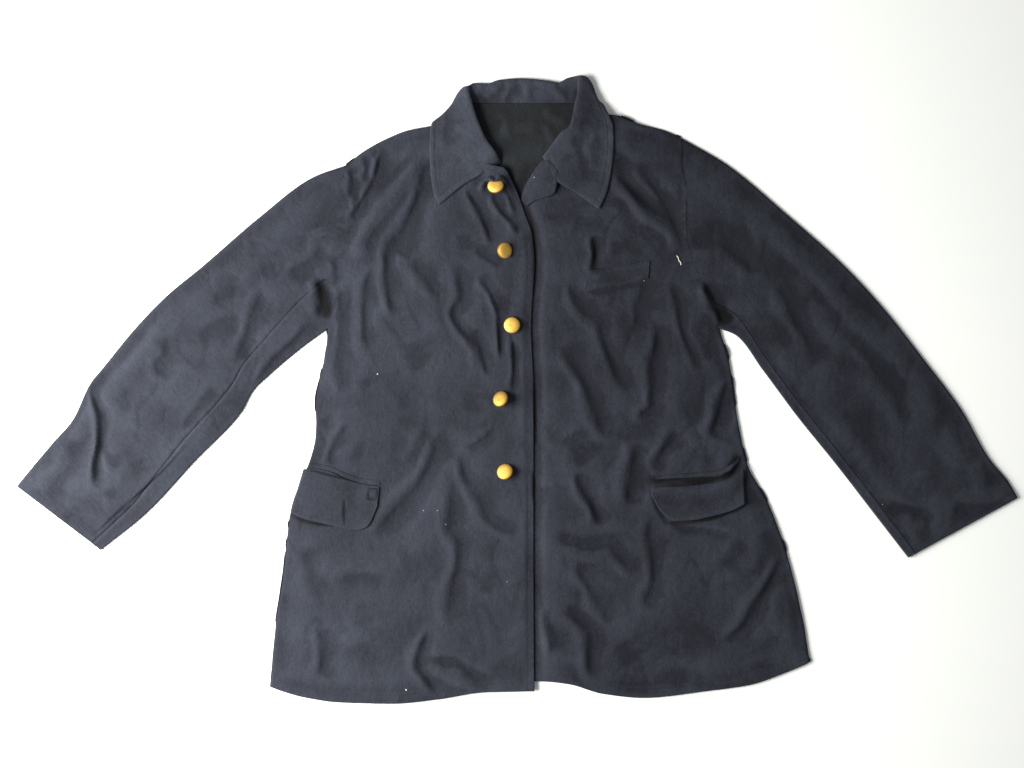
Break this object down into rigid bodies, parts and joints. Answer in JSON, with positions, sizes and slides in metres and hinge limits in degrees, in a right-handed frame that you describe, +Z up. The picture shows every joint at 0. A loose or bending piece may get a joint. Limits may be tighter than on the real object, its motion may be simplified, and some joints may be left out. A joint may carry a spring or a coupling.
{
  "type": "railway uniform jacket laid flat",
  "caption": "Dark navy cotton work jacket lying flat and buttoned, with a turn-down collar, hip flaps, a breast welt pocket and domed brass buttons.",
  "frame": {"origin": "bottom centre of the laid-out jacket, on the surface that it lies on", "axes": "+X to the wearer's left along the arms, +Y to the collar, +Z up off the surface"},
  "size_m": [1.2498, 0.7832, 0.0198],
  "materials": {
    "navy_cotton": "matte plain weave",
    "brass": "satin, worn"
  },
  "bodies": {
    "root": {"back": "navy_cotton", "front_right": "navy_cotton", "front_left": "navy_cotton", "sleeve_right_upper": "navy_cotton", "sleeve_right_under": "navy_cotton", "sleeve_left_upper": "navy_cotton", "sleeve_left_under": "navy_cotton", "collar": "navy_cotton", "lapel_left": "navy_cotton", "flap_right": "navy_cotton", "flap_left": "navy_cotton", "jet_right": "navy_cotton", "jet_left": "navy_cotton", "breast_welt": "navy_cotton", "button_1": "brass", "button_2": "brass", "button_3": "brass", "button_4": "brass", "button_5": "brass"}
  },
  "joints": []
}
